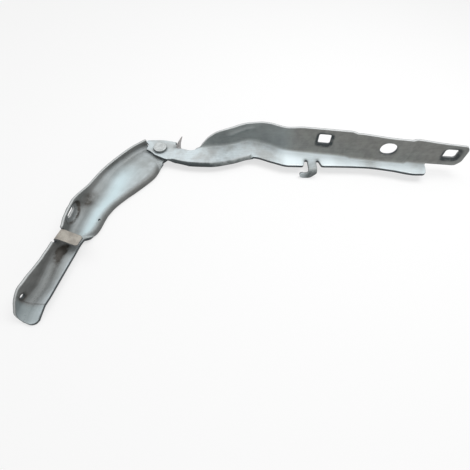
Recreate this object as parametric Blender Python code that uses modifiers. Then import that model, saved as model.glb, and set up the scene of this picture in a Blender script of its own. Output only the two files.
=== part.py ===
"""Hood hinge: a pressed body bracket and a pressed hood arm, joined by one riveted pivot.

Metres, +Z up. The pivot's axis is the Z axis and the flat underside of the rivet is z = 0.
The arm runs out along +X and the bracket runs back towards -X and -Y.
"""

import math

import bmesh
import bpy
import numpy as np
from mathutils import Matrix, Vector

mm = 0.001

# Sheet and clearances
SHEET = 2.8 * mm
SEAT_GAP = 0.3 * mm
TAB_THINNING = 0.1 * mm

# Pivot
TAIL_RADIUS = 7.4 * mm
TAIL_HEIGHT = 3.4 * mm
SHANK_RADIUS = 4.0 * mm
HEAD_RADIUS = 7.3 * mm
HEAD_HEIGHT = 1.9 * mm
HEAD_DISH_RADIUS = 4.9 * mm
HEAD_DISH_DEPTH = 0.35 * mm
RIVET_EDGE = 0.6 * mm
BUSH_WALL = 1.1 * mm
BUSH_FLANGE_RADIUS = 8.6 * mm
BUSH_FLANGE = 1.0 * mm
WASHER_RADIUS = 6.7 * mm
WASHER_THICKNESS = 0.6 * mm
TURN_STEPS = 40

# Heights through the pivot, from the resting plane up
bracket_bottom = TAIL_HEIGHT + SEAT_GAP
bracket_top = bracket_bottom + SHEET
flange_bottom = bracket_top + SEAT_GAP
flange_top = flange_bottom + BUSH_FLANGE
arm_bottom = flange_top + SEAT_GAP
arm_top = arm_bottom + SHEET
washer_bottom = arm_top + SEAT_GAP
washer_top = washer_bottom + WASHER_THICKNESS
head_bottom = washer_top + SEAT_GAP
head_top = head_bottom + HEAD_HEIGHT
bush_bore = SHANK_RADIUS + SEAT_GAP
bush_radius = bush_bore + BUSH_WALL
arm_bore = bush_radius + SEAT_GAP
bracket_bore = SHANK_RADIUS + SEAT_GAP

# The same in millimetres, for the outlines below
sheet_mm = SHEET / mm
bracket_top_mm = bracket_top / mm
arm_top_mm = arm_top / mm

# Hood arm, seen from above: (x, y) of its wall's inner face and of its near edge, in millimetres
ARM_START = -22.0
WALL_END = 317.6
ARM_SPARE = 3.4
ARM_END = WALL_END + ARM_SPARE
ARM_STATION = 4.4
ARM_LIP_ROWS = 5
ARM_WEB_ROWS = 3
ARM_WALL_LINE = [(38, 2), (55, 4.6), (76, 7.5), (97, 14.2), (116, 9.2), (136, -0.8), (160, -4.8),
                 (196, -10.1), (204, -11.22), (260, -19.06), (268, -20.18), (276, -21.2), (284, -22.04),
                 (321, -25.925)]
ARM_NEAR_LINE = [(-22, -17), (13, -18), (21, -20.2), (36, -23.2), (56, -24), (78, -19.5), (101, -12.4),
                 (121, -19.6), (138, -25.2), (192, -26.2), (218, -27.3), (244, -31.7), (269, -37.5),
                 (321, -38)]
ARM_WALL_HEIGHT = [(38, 0.4), (43, 1.2), (54, 11.6), (64, 17.4), (80, 20.8), (99, 22.1), (112, 25.4),
                   (136, 27.8), (152, 30.2), (205, 30.6), (240, 28.4), (264, 27.9), (290, 25.5), (321, 23.5)]
ARM_BEND_RADIUS = 4.0
ARM_FLAT_UNTIL = 24.0
ARM_BENT_FROM = 36.0
NOSE_SPAN = 20.0
LEAST_BEND = 0.01
JOGGLE_DEPTH = 2.4
JOGGLE_RAMP = 6.0
JOGGLE_FROM = 199.0
JOGGLE_TO = 258.0
LIP_FROM = 27.0
LIP_TO = 96.0
LIP_RAMP = 7.0
LIP_TURN = 78.0
LIP_RADIUS = 3.4
LIP_LENGTH = 6.6
DROOP_FROM = 6.0
DROOP_TURN = 12.0

# Nose of the arm round the pivot: (x, y, corner radius), from the near edge round to the wall's start
NOSE_OUTLINE = [(16, -21, 0), (4, -14, 12), (-4.8, -9.3, 8), (-11, -3.2, 3), (-15.7, -0.6, 1.5),
                (-14.2, 6.6, 4), (-17.6, 12.0, 1.6), (-15.8, 14.3, 2), (2, 14.6, 30), (17.6, 10.7, 1),
                (15.4, 8.1, 1), (21.6, 1.2, 5), (33, -2.6, 10), (38.5, -0.5, 4), (42, 5, 0)]

# Spike beside the nose: it is lanced out of the step and stands up, leaning along the arm
SPIKE_ROOT = (18.4, 2.6)
SPIKE_BASE = 4.8
SPIKE_TIP = 1.0
SPIKE_RISE = 14.2
SPIKE_LEAN = 26.0
SPIKE_TURN = -42.0
SPIKE_THICKNESS = 2.2
SPIKE_SEAT = 0.4

# Holes in the arm's wall: distance along x, height over the web, straight sides and corner radius
SQUARE_HOLE = dict(x=174.6, up=17.6, wide=9.2, high=8.8, corner=1.6)
ROUND_HOLE = dict(x=239.0, up=15.4, wide=2.0, high=0.2, corner=7.2)
END_HOLE = dict(x=WALL_END - 15.2, up=13.0, wide=8.2, high=5.8, corner=2.4)
WALL_END_TOP = 24.4
WALL_END_SLOPE = 1.4
WALL_END_TOP_RADIUS = 7.5
WALL_END_LOW = 0.9
WALL_END_LOW_RADIUS = 6.5
WEB_END = WALL_END - 36.4
WEB_END_CORNER = (WEB_END - 2.8, -37.9)
WEB_END_RADIUS = 5.0
WEB_END_FILLET = 1.5

# Hook on the arm's near edge, with a relief notch on either side of its root
HOOK_LEFT = 158.6
HOOK_WIDTH = 9.0
HOOK_RIGHT = HOOK_LEFT + HOOK_WIDTH
HOOK_TOE_LENGTH = 8.8
HOOK_TOE = HOOK_LEFT - HOOK_TOE_LENGTH
HOOK_FACE = -31.6
HOOK_ROOT = -19.5
HOOK_BEND = 3.2
HOOK_SPARE = 3.0
HOOK_OUTLINE = [(HOOK_RIGHT, 6.4, 3), (HOOK_RIGHT - 6.4, 0, 5), (HOOK_TOE, 0, 4.2), (HOOK_TOE, 6.8, 1.6),
                (HOOK_TOE + 3.4, 7.0, 1.4), (HOOK_TOE + 5.2, 5.2, 1.2), (HOOK_LEFT, 6.2, 1.2)]
NOTCH_LEFT = [(HOOK_LEFT - 6.2, -30, 0), (HOOK_LEFT - 5.8, -25, 1), (HOOK_LEFT - 4.0, -17.2, 1.6),
              (HOOK_LEFT, -17.2, 1.4), (HOOK_LEFT, -30, 0)]
NOTCH_RIGHT = [(HOOK_RIGHT, -30, 0), (HOOK_RIGHT, -18.2, 1), (HOOK_RIGHT + 2.8, -18.4, 1),
               (HOOK_RIGHT + 5.0, -25, 1), (HOOK_RIGHT + 5.8, -30, 0)]

# Body bracket, in millimetres: foot of the wall (x, y), right edge (x, y), wall height, bend radius
BRACKET_STATIONS = [
    (12, 33, 36, 6, 9, 3),
    (-11, 12.2, 12, -11, 9, 3),
    (-27.4, -1.1, 2.6, -20, 8.6, 3.5),
    (-41.3, -17.1, -2.7, -33.6, 7.8, 5),
    (-53.7, -36.2, -17.7, -52.7, 7.6, 7),
    (-61.1, -54.4, -28.6, -64.4, 8.4, 9),
    (-65.9, -72.6, -38.1, -76.9, 13.6, 9),
    (-67.4, -79.6, -40.6, -82, 15.5, 7),
    (-67.8, -82.6, -42.1, -85.4, 16.2, 6.5),
    (-70, -98.8, -46, -101.4, 15.6, 6),
    (-70.4, -101.8, -46.9, -103.8, 15.2, 6.1),
    (-70.9, -109, -49.8, -109, 13.4, 6.5),
    (-72.9, -117, -57, -116.4, 12.2, 7),
    (-77.2, -130.6, -60.8, -131, 10.8, 7),
    (-79.9, -146.7, -64.6, -147, 13, 7),
    (-81.5, -161.8, -68, -162, 17.6, 7),
    (-83.6, -168.8, -69.8, -170, 18, 6),
    (-87.3, -178.6, -72.4, -179.2, 15, 6),
    (-92.6, -196, -76, -197, 8, 6),
]
BRACKET_STATION = 4.4
BRACKET_WEB_ROWS = 4
BRACKET_ROLL_ROWS = 5
ROLL_FROM = 46.0
ROLL_FULL = 66.0
ROLL_FADE = 166.0
ROLL_END = 178.0
ROLL_TURN = 78.0
ROLL_RADIUS = 4.2
ROLL_CLEAR = 0.6
END_CREASE = 241.0
END_SLOPE_RUN = 14.0

# Eye round the rivet, and the outlines that finish the bracket's two ends: (x, y, corner radius)
EYE_RADIUS = 13.6
EYE_FROM = 148.0
EYE_TO = -58.0
EYE_STEP = 6.0
PIVOT_END_START = [(-27.6, 21.4), (-14.2, 6.6)]
PIVOT_END_CLOSE = [(3.4, -16), (3.4, -24), (60, -24), (60, 60), (-27.6, 60)]
LOWER_END = [(-66, -170, 0), (-76.6, -194.4, 7), (-90.8, -189, 8), (-97, -174, 0),
             (-120, -174, 0), (-120, -225, 0), (-66, -225, 0)]

# Folded tab on the bracket's wall, placed by its distance along the wall
TAB_AT = 179.2
TAB_WIDTH = 11.4
TAB_RELIEF = 1.2
TAB_LEG = 16.0
TAB_BEND = 3.2
TAB_FOOT = 8.0
TAB_ROOT = 5.0
TAB_CORNER = 2.4
TAB_RELIEF_CORNER = 0.8

# Holes in the bracket, placed by their distance along the wall and their height over the web
WALL_SLOT = dict(at=152.8, up=10.4, wide=8.2, high=0.2, corner=3.4)
LOWER_HOLE = dict(at=234.6, up=8.4, radius=2.6)
GAUGE_HOLE = (-47.6, -93.0)
GAUGE_RADIUS = 1.3

# Rows of faces round a bend and up a wall, and the finest turn of a rounded corner in degrees
ARC_ROWS = 4
WALL_ROWS = 3
ARC_STEP = 20.0
LEAST_ARC_SHARE = 0.15
MOST_ARC_SHARE = 0.6
SHARP_ANGLE = 34.0

# How far the cutters reach: past the part, below it and to each side of a wall
CUTTER_REACH = 60.0
CUT_FLOOR = -5.0
WALL_CUT = 8.0


# Curves and outlines


def along(points, at):
    """Smooth line through a few points, with no overshoot, and straight where they are straight."""
    xs, ys = np.array(points, float).T
    steps = np.diff(xs)
    slopes = np.diff(ys) / steps
    tangents = np.concatenate([slopes[:1], np.zeros(len(xs) - 2), slopes[-1:]])
    for i in range(1, len(xs) - 1):
        if slopes[i - 1] * slopes[i] > 0:
            before = 2 * steps[i] + steps[i - 1]
            after = steps[i] + 2 * steps[i - 1]
            tangents[i] = (before + after) / (before / slopes[i - 1] + after / slopes[i])
    i = int(np.clip(np.searchsorted(xs, at) - 1, 0, len(xs) - 2))
    t = min(max((at - xs[i]) / steps[i], 0.0), 1.0)
    rise = 3 * t**2 - 2 * t**3
    return (ys[i] + (ys[i + 1] - ys[i]) * rise + steps[i] * (tangents[i] * (t - 2 * t**2 + t**3)
            + tangents[i + 1] * (t**3 - t**2)))


def ramp(value, start, end):
    """0 before start, 1 after end, with a soft change between them."""
    t = min(max((value - start) / (end - start), 0.0), 1.0)
    return t * t * (3 - 2 * t)


def rounded(corners, closed=True):
    """The outline through (x, y, radius) corners, each rounded by an arc of its radius."""
    outline = []
    count = len(corners)
    for i, (x, y, radius) in enumerate(corners):
        here = Vector((x, y))
        if radius == 0 or (not closed and i in (0, count - 1)):
            outline.append(here)
            continue
        back = (Vector(corners[i - 1][:2]) - here).normalized()
        ahead = (Vector(corners[(i + 1) % count][:2]) - here).normalized()
        half = back.angle(ahead) / 2
        middle = here + (back + ahead).normalized() * (radius / math.sin(half))
        first = here + back * (radius / math.tan(half)) - middle
        last = here + ahead * (radius / math.tan(half)) - middle
        turn = first.angle_signed(last)
        pieces = max(2, math.ceil(abs(math.degrees(turn)) / ARC_STEP))
        for k in range(pieces + 1):
            outline.append(middle + Matrix.Rotation(-turn * k / pieces, 2) @ first)
    return outline


def bend_point(distance, radius, turn):
    """(out, over) of a sheet that turns by an angle on a radius, then runs on straight."""
    arc = radius * turn
    if distance <= arc:
        return radius * math.sin(distance / radius), radius * (1 - math.cos(distance / radius))
    rest = distance - arc
    return (radius * math.sin(turn) + rest * math.cos(turn),
            radius * (1 - math.cos(turn)) + rest * math.sin(turn))


def flange_length(height, radius):
    """Length of sheet, from the bend's start, that stands this high."""
    if height < radius:
        return radius * math.acos(1 - height / radius)
    return radius * math.pi / 2 + height - radius


# Objects


def collection(name, parent):
    made = bpy.data.collections.new(name)
    parent.children.link(made)
    return made


def add_object(name, bm, where):
    mesh = bpy.data.meshes.new(name)
    bm.to_mesh(mesh)
    bm.free()
    made = bpy.data.objects.new(name, mesh)
    where.objects.link(made)
    return made


def prism(name, outline, low, high, place=None):
    """A cutter: the outline, in millimetres, extruded from low to high along its own Z."""
    bm = bmesh.new()
    points = [bm.verts.new((p[0] * mm, p[1] * mm, low * mm)) for p in outline]
    bottom = bm.faces.new(points)
    grown = bmesh.ops.extrude_face_region(bm, geom=[bottom])["geom"]
    raised = [v for v in grown if isinstance(v, bmesh.types.BMVert)]
    bmesh.ops.translate(bm, verts=raised, vec=(0, 0, (high - low) * mm))
    bmesh.ops.transform(bm, matrix=place or Matrix(), verts=bm.verts)
    bmesh.ops.recalc_face_normals(bm, faces=bm.faces)
    made = add_object(name, bm, cutters)
    made.hide_render = True
    made.display_type = "WIRE"
    return made


def drill(name, radius, reach, place=None):
    """A round cutter along its own Z, as far as reach each way."""
    bm = bmesh.new()
    bmesh.ops.create_cone(bm, cap_ends=True, segments=TURN_STEPS, radius1=radius, radius2=radius,
                          depth=2 * reach, matrix=place or Matrix())
    made = add_object(name, bm, cutters)
    made.hide_render = True
    made.display_type = "WIRE"
    return made


def boolean(obj, other, operation):
    step = obj.modifiers.new(other.name, "BOOLEAN")
    step.operation = operation
    step.solver = "EXACT"
    step.object = other


def cut(obj, cutter):
    boolean(obj, cutter, "DIFFERENCE")


def sheet_object(name, stations, rows, where_point, where):
    """A grid with a column at each station, moved into place and given the sheet's thickness."""
    bm = bmesh.new()
    bmesh.ops.create_grid(bm, x_segments=len(stations) - 1, y_segments=rows, size=0.5)
    for v in bm.verts:
        column = round((v.co.x + 0.5) * (len(stations) - 1))
        row = round((v.co.y + 0.5) * rows)
        v.co = where_point(stations[column], row)
    return add_object(name, bm, where)


def thicken(obj, thickness, offset):
    step = obj.modifiers.new("thickness", "SOLIDIFY")
    step.thickness = thickness
    step.offset = offset


def turned(name, profile, where, ring=False):
    """A turned piece from its (radius, height) profile, which runs down its outer side."""
    bm = bmesh.new()
    points = [bm.verts.new((radius, 0, height)) for radius, height in profile]
    for first, last in zip(points, points[1:] + points[:ring]):
        bm.edges.new((first, last))
    made = add_object(name, bm, where)
    screw = made.modifiers.new("turn", "SCREW")
    screw.steps = TURN_STEPS
    screw.render_steps = TURN_STEPS
    screw.use_merge_vertices = True
    screw.merge_threshold = 0.01 * mm
    return made


def finish(obj, colour, metallic, roughness):
    material = bpy.data.materials.new(obj.name)
    material.use_nodes = True
    shader = material.node_tree.nodes["Principled BSDF"]
    shader.inputs["Base Color"].default_value = (*colour, 1)
    shader.inputs["Metallic"].default_value = metallic
    shader.inputs["Roughness"].default_value = roughness
    obj.data.materials.clear()
    obj.data.materials.append(material)
    obj.data.shade_smooth()
    obj.data.set_sharp_from_angle(angle=math.radians(SHARP_ANGLE))


# Hood arm

arm_rows = ARM_LIP_ROWS + ARM_WEB_ROWS + ARC_ROWS + WALL_ROWS


def arm_wall_y(x):
    """y of the wall's inner face, with the recessed stretch between its two joggles."""
    recess = ramp(x, JOGGLE_FROM, JOGGLE_FROM + JOGGLE_RAMP) - ramp(x, JOGGLE_TO, JOGGLE_TO + JOGGLE_RAMP)
    return along(ARM_WALL_LINE, x) - JOGGLE_DEPTH * recess


def flange_share(row, length, radius):
    """Distance along a flange of each row: the first rows follow the bend, the rest the wall."""
    share = min(max(radius * math.pi / 2 / length, LEAST_ARC_SHARE), MOST_ARC_SHARE)
    if row <= ARC_ROWS:
        return length * share * row / ARC_ROWS
    return length * (share + (1 - share) * (row - ARC_ROWS) / WALL_ROWS)


def arm_point(x, row):
    bent = ramp(x, ARM_FLAT_UNTIL, ARM_BENT_FROM)
    radius = ARM_BEND_RADIUS / max(bent, LEAST_BEND)
    length = flange_length(along(ARM_WALL_HEIGHT, x), ARM_BEND_RADIUS)
    length = NOSE_SPAN + (length - NOSE_SPAN) * bent
    bend_start = arm_wall_y(x) - ARM_BEND_RADIUS
    lip = ramp(x, LIP_FROM, LIP_FROM + LIP_RAMP) - ramp(x, LIP_TO - LIP_RAMP, LIP_TO)
    droop = ramp(x, DROOP_FROM, DROOP_FROM + LIP_RAMP) - ramp(x, LIP_TO - LIP_RAMP, LIP_TO)
    turn = math.radians(DROOP_TURN * droop + (LIP_TURN - DROOP_TURN) * lip)
    lip_out = bend_point(LIP_LENGTH, LIP_RADIUS, turn)[0]
    lip_start = along(ARM_NEAR_LINE, x) + lip_out
    if row <= ARM_LIP_ROWS:
        out, down = bend_point(LIP_LENGTH * (1 - row / ARM_LIP_ROWS), LIP_RADIUS, turn)
        return Vector((x, lip_start - out, arm_top_mm - down)) * mm
    row -= ARM_LIP_ROWS
    if row <= ARM_WEB_ROWS:
        return Vector((x, lip_start + (bend_start - lip_start) * row / ARM_WEB_ROWS, arm_top_mm)) * mm
    out, up = bend_point(flange_share(row - ARM_WEB_ROWS, length, radius), radius, math.pi / 2 * bent)
    return Vector((x, bend_start + out, arm_top_mm + up)) * mm


def wall_place(x, up, wall_y, level):
    """Matrix for a cutter through a wall that follows y = wall_y(x): its Z runs through the wall."""
    slope = (wall_y(x + 1) - wall_y(x - 1)) / 2
    run = Vector((1, slope, 0)).normalized()
    through = Vector((run.y, -run.x, 0))
    turn = Matrix((run, (0, 0, 1), through)).transposed().to_4x4()
    return Matrix.Translation(Vector((x, wall_y(x), level + up)) * mm) @ turn


def oblong(hole):
    """A hole's outline from its straight sides and the corner radius that joins them."""
    corner = hole["corner"]
    side, top = hole["wide"] / 2 + corner, hole["high"] / 2 + corner
    return rounded([(-side, -top, corner), (side, -top, corner), (side, top, corner),
                    (-side, top, corner)])


def bent_strip(name, width, leg, reach, radius, place):
    """A strip that runs out level along its own Y, then turns down, or up in a turned-over place."""
    quarter = radius * math.pi / 2
    rows = [0, leg, leg + quarter / 3, leg + 2 * quarter / 3, leg + quarter, leg + quarter + reach]

    def point(x, row):
        distance = rows[row]
        if distance <= leg:
            return Vector((x, distance, 0)) * mm
        out, down = bend_point(distance - leg, radius, math.pi / 2)
        return Vector((x, leg + out, -down)) * mm

    made = sheet_object(name, [0, width], len(rows) - 1, point, cutters)
    made.data.transform(place)
    made.hide_render = True
    made.display_type = "WIRE"
    thicken(made, SHEET - 2 * TAB_THINNING, 0)
    return made


# Stands an outline up: its X stays, its Y becomes the height and its Z runs towards -Y
upright = Matrix(((1, 0, 0, 0), (0, 0, -1, 0), (0, 1, 0, 0), (0, 0, 0, 1)))


def make_hook():
    middle = (arm_bottom + arm_top) / 2 / mm
    radius = HOOK_BEND + SHEET / mm / 2
    root = Vector((HOOK_RIGHT + HOOK_SPARE, HOOK_ROOT, middle)) * mm
    place = Matrix.Translation(root) @ Matrix.Rotation(math.pi, 4, "Z")
    leg = HOOK_ROOT - HOOK_FACE - radius
    wide = HOOK_RIGHT - HOOK_TOE + 2 * HOOK_SPARE
    hook = bent_strip("hook_blank", wide, leg, middle - radius + HOOK_SPARE, radius, place)
    top = arm_top_mm + HOOK_SPARE
    outline = rounded(HOOK_OUTLINE + [(HOOK_LEFT, top, 0), (HOOK_RIGHT, top, 0)])
    boolean(hook, prism("hook_shape", outline, 0, CUTTER_REACH, upright), "INTERSECT")
    return hook


def make_spike():
    half, tip = SPIKE_BASE / 2, SPIKE_TIP / 2
    low = SPIKE_SEAT - sheet_mm
    outline = [(-half, low), (half, low), (half, 0), (tip, SPIKE_RISE), (-tip, SPIKE_RISE), (-half, 0)]
    place = (Matrix.Translation(Vector((*SPIKE_ROOT, arm_top_mm)) * mm)
             @ Matrix.Rotation(math.radians(SPIKE_TURN), 4, "Z")
             @ Matrix.Rotation(math.radians(90), 4, "X"))
    spike = prism("spike_shape", outline, -SPIKE_THICKNESS / 2, SPIKE_THICKNESS / 2, place)
    lean = math.tan(math.radians(SPIKE_LEAN))
    for v in spike.data.vertices:
        v.co.x += lean * max(v.co.z - arm_top, 0)
    return spike


def make_arm(where):
    count = round((ARM_END - ARM_START) / ARM_STATION)
    stations = [ARM_START + (ARM_END - ARM_START) * i / count for i in range(count + 1)]
    arm = sheet_object("hood_arm", stations, arm_rows, arm_point, where)
    thicken(arm, SHEET, -1)
    reach = CUTTER_REACH
    nose = rounded(NOSE_OUTLINE, closed=False)
    sides = (nose[-1].x, reach), (-reach, reach), (-reach, -reach), (nose[0].x, -reach)
    nose += [Vector(p) for p in sides]
    cut(arm, prism("nose_outline", nose, CUT_FLOOR, reach))
    corner_x, corner_y = WEB_END_CORNER
    web_end = rounded([(corner_x - 2 * WEB_END_RADIUS, corner_y, 0), (corner_x, corner_y, WEB_END_RADIUS),
                       (WEB_END, ARM_WALL_LINE[-1][1], 0), (WALL_END, ARM_WALL_LINE[-1][1], 0),
                       (WALL_END, -reach, 0), (corner_x - 2 * WEB_END_RADIUS, -reach, 0)])
    cut(arm, prism("web_end", web_end, CUT_FLOOR, arm_top_mm + WALL_END_LOW))
    low = arm_top_mm + WALL_END_LOW
    high = arm_top_mm + WALL_END_TOP
    before = WALL_END - 2 * WALL_END_TOP_RADIUS
    end = [(WEB_END, CUT_FLOOR, 0), (WEB_END, low, WEB_END_FILLET), (WALL_END, low, WALL_END_LOW_RADIUS),
           (WALL_END, high, WALL_END_TOP_RADIUS), (before, high + WALL_END_SLOPE, 0), (before, reach, 0),
           (WALL_END + reach, reach, 0), (WALL_END + reach, CUT_FLOOR, 0)]
    cut(arm, prism("wall_end", rounded(end), CUT_FLOOR, reach, upright))
    for name, hole in (("square_hole", SQUARE_HOLE), ("round_hole", ROUND_HOLE), ("end_hole", END_HOLE)):
        place = wall_place(hole["x"], hole["up"], arm_wall_y, arm_top_mm)
        cut(arm, prism(name, oblong(hole), -WALL_CUT, WALL_CUT, place))
    for name, notch in (("notch_left", NOTCH_LEFT), ("notch_right", NOTCH_RIGHT)):
        cut(arm, prism(name, rounded(notch), CUT_FLOOR, reach))
    boolean(arm, make_hook(), "UNION")
    boolean(arm, make_spike(), "UNION")
    cut(arm, drill("arm_bore_cutter", arm_bore, CUTTER_REACH * mm))
    return arm


# Body bracket

bracket_rows = WALL_ROWS + ARC_ROWS + BRACKET_WEB_ROWS + BRACKET_ROLL_ROWS
roll_turn = math.radians(ROLL_TURN)
roll_depth = bracket_top_mm - ROLL_CLEAR - sheet_mm * math.cos(roll_turn)
roll_straight = (roll_depth - ROLL_RADIUS * (1 - math.cos(roll_turn))) / math.sin(roll_turn)
roll_length = ROLL_RADIUS * roll_turn + roll_straight

neighbours = zip(BRACKET_STATIONS, BRACKET_STATIONS[1:])
steps_between = [math.dist(first[:2], last[:2]) for first, last in neighbours]
bracket_runs = np.concatenate([[0], np.cumsum(steps_between)])
bracket_lines = [list(zip(bracket_runs, column)) for column in zip(*BRACKET_STATIONS)]


def bracket_frame(run):
    """Foot of the wall, direction across the web, width, wall height, bend radius and web level."""
    foot_x, foot_y, edge_x, edge_y, height, radius = (along(line, run) for line in bracket_lines)
    across = Vector((edge_x - foot_x, edge_y - foot_y, 0))
    drop = bracket_bottom / mm * min(max((run - END_CREASE) / END_SLOPE_RUN, 0), 1)
    foot = Vector((foot_x, foot_y, 0))
    return foot, across.normalized(), across.length, height, radius, bracket_top_mm - drop


def bracket_point(run, row):
    foot, across, width, height, radius, level = bracket_frame(run)
    turn = roll_turn * (ramp(run, ROLL_FROM, ROLL_FULL) - ramp(run, ROLL_FADE, ROLL_END))
    roll_start = width - bend_point(roll_length, ROLL_RADIUS, turn)[0]
    flange_rows = ARC_ROWS + WALL_ROWS
    if row <= flange_rows:
        length = flange_length(height, radius)
        out, up = bend_point(flange_share(flange_rows - row, length, radius), radius, math.pi / 2)
        return (foot + across * (radius - out) + Vector((0, 0, level + up))) * mm
    row -= flange_rows
    if row <= BRACKET_WEB_ROWS:
        out = radius + (roll_start - radius) * row / BRACKET_WEB_ROWS
        return (foot + across * out + Vector((0, 0, level))) * mm
    row -= BRACKET_WEB_ROWS
    out, down = bend_point(roll_length * row / BRACKET_ROLL_ROWS, ROLL_RADIUS, turn)
    return (foot + across * (roll_start + out) + Vector((0, 0, level - down))) * mm


def bracket_wall_place(run, up):
    """Matrix on the wall's inner face: X along the wall, Y up, Z out of the channel."""
    foot, _, _, _, _, level = bracket_frame(run)
    ahead = (bracket_frame(run + 2)[0] - bracket_frame(run - 2)[0]).normalized()
    through = Vector((ahead.y, -ahead.x, 0))
    turn = Matrix((ahead, (0, 0, 1), through)).transposed().to_4x4()
    return Matrix.Translation((foot + Vector((0, 0, level + up))) * mm) @ turn


def make_tab():
    """The tab stands up from the wall and folds in over the web."""
    middle = TAB_BEND + sheet_mm / 2
    wall = bracket_wall_place(TAB_AT, TAB_FOOT + middle)
    place = wall @ Matrix(((1, 0, 0, -TAB_WIDTH / 2 * mm), (0, 0, 1, 0), (0, 1, 0, 0), (0, 0, 0, 1)))
    free_end = TAB_LEG + middle
    half = TAB_WIDTH / 2
    edge = sheet_mm / 2 - free_end
    place = place @ Matrix.Translation((0, edge * mm, 0))
    strip = bent_strip("tab_blank", TAB_WIDTH, TAB_LEG, TAB_ROOT, middle, place)
    corners = [(-TAB_WIDTH, TAB_ROOT, 0), (-half, TAB_ROOT, 0), (-half, edge, TAB_CORNER),
               (half, edge, TAB_CORNER), (half, TAB_ROOT, 0), (TAB_WIDTH, TAB_ROOT, 0),
               (TAB_WIDTH, -CUTTER_REACH, 0), (-TAB_WIDTH, -CUTTER_REACH, 0)]
    flat = wall @ Matrix(((1, 0, 0, 0), (0, 0, 1, 0), (0, 1, 0, 0), (0, 0, 0, 1)))
    cut(strip, prism("tab_corners", rounded(corners), -CUTTER_REACH, CUTTER_REACH, flat))
    return strip


def make_bracket(where):
    count = round(bracket_runs[-1] / BRACKET_STATION)
    stations = [bracket_runs[-1] * i / count for i in range(count + 1)]
    bracket = sheet_object("body_bracket", stations, bracket_rows, bracket_point, where)
    thicken(bracket, SHEET, -1)
    eye = [Vector((math.cos(angle), math.sin(angle))) * EYE_RADIUS
           for angle in np.radians(np.arange(EYE_FROM, EYE_TO, -EYE_STEP))]
    outline = [Vector(p) for p in PIVOT_END_START] + eye + [Vector(p) for p in PIVOT_END_CLOSE]
    cut(bracket, prism("pivot_end", outline, CUT_FLOOR, CUTTER_REACH))
    cut(bracket, prism("lower_end", rounded(LOWER_END), CUT_FLOOR, CUTTER_REACH))
    place = bracket_wall_place(WALL_SLOT["at"], WALL_SLOT["up"])
    cut(bracket, prism("wall_slot", oblong(WALL_SLOT), -WALL_CUT, WALL_CUT, place))
    place = bracket_wall_place(LOWER_HOLE["at"], LOWER_HOLE["up"])
    cut(bracket, drill("lower_hole", LOWER_HOLE["radius"] * mm, WALL_CUT * mm, place))
    half = TAB_WIDTH / 2 + TAB_RELIEF
    relief = rounded([(-half, TAB_FOOT, TAB_RELIEF_CORNER), (half, TAB_FOOT, TAB_RELIEF_CORNER),
                      (half, CUTTER_REACH, 0), (-half, CUTTER_REACH, 0)])
    cut(bracket, prism("tab_relief", relief, -WALL_CUT, WALL_CUT, bracket_wall_place(TAB_AT, 0)))
    boolean(bracket, make_tab(), "UNION")
    cut(bracket, drill("bracket_bore_cutter", bracket_bore, CUTTER_REACH * mm))
    gauge = Matrix.Translation((GAUGE_HOLE[0] * mm, GAUGE_HOLE[1] * mm, 0))
    cut(bracket, drill("gauge_hole", GAUGE_RADIUS * mm, CUTTER_REACH * mm, gauge))
    return bracket


# Pivot pieces


def make_rivet(where):
    dish = head_top - HEAD_DISH_DEPTH
    profile = [(0, dish), (HEAD_DISH_RADIUS - HEAD_DISH_DEPTH, dish), (HEAD_DISH_RADIUS, head_top),
               (HEAD_RADIUS - RIVET_EDGE, head_top),
               (HEAD_RADIUS, head_top - RIVET_EDGE), (HEAD_RADIUS, head_bottom), (SHANK_RADIUS, head_bottom),
               (SHANK_RADIUS, TAIL_HEIGHT), (TAIL_RADIUS, TAIL_HEIGHT), (TAIL_RADIUS, RIVET_EDGE),
               (TAIL_RADIUS - RIVET_EDGE, 0), (0, 0)]
    return turned("pivot_rivet", profile, where)


def make_bush(where):
    profile = [(bush_bore, arm_top), (bush_radius, arm_top), (bush_radius, flange_top),
               (BUSH_FLANGE_RADIUS, flange_top), (BUSH_FLANGE_RADIUS, flange_bottom),
               (bush_bore, flange_bottom)]
    return turned("pivot_bush", profile, where, ring=True)


def make_washer(where):
    profile = [(bush_bore, washer_top), (WASHER_RADIUS, washer_top), (WASHER_RADIUS, washer_bottom),
               (bush_bore, washer_bottom)]
    return turned("thrust_washer", profile, where, ring=True)


for item in list(bpy.data.objects):
    bpy.data.objects.remove(item, do_unlink=True)
hinge = collection("hood_hinge", bpy.context.scene.collection)
cutters = collection("cutters", bpy.context.scene.collection)
finish(make_bracket(hinge), (0.45, 0.49, 0.50), 0.8, 0.42)
finish(make_arm(hinge), (0.55, 0.59, 0.60), 0.8, 0.40)
finish(make_rivet(hinge), (0.60, 0.63, 0.64), 0.9, 0.38)
finish(make_bush(hinge), (0.42, 0.30, 0.14), 0.7, 0.45)
finish(make_washer(hinge), (0.30, 0.31, 0.32), 0.9, 0.40)
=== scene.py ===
import math

import bmesh
import bpy
import numpy as np
from mathutils import Matrix, Vector


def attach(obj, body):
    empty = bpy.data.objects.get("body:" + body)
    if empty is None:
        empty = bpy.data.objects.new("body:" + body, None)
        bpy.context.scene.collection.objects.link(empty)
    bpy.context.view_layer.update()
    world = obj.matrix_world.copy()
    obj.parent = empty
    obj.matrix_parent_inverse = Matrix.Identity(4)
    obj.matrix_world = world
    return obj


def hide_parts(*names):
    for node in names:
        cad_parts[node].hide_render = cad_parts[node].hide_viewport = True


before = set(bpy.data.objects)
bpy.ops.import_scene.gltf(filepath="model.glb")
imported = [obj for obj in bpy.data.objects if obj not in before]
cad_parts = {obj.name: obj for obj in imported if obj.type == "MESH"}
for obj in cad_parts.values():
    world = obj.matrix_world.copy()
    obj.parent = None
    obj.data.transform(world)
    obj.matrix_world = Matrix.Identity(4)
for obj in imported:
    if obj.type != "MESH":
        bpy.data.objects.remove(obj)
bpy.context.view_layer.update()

mm = 0.001

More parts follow.
